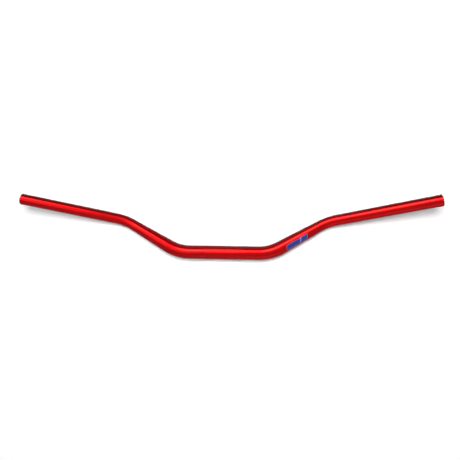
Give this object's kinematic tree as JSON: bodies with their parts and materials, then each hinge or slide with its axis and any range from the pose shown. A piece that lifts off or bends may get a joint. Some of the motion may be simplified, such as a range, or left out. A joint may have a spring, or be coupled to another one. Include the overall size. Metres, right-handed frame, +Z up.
{
  "type": "motocross handlebar",
  "caption": "Tapered aluminium handlebar with a thick clamp section, two risers and swept back grip ends, open at both ends.",
  "frame": {"origin": "middle of the clamp section, on its axis", "axes": "+X along the clamp section to the rider's right, +Y from the clamp towards the grips, +Z up from the ground that the bar lies on, front side down"},
  "size_m": [0.8218, 0.1404, 0.0736],
  "materials": {
    "anodised_tube": "gloss red anodised"
  },
  "bodies": {
    "root": {"handlebar": "anodised_tube"}
  },
  "joints": []
}
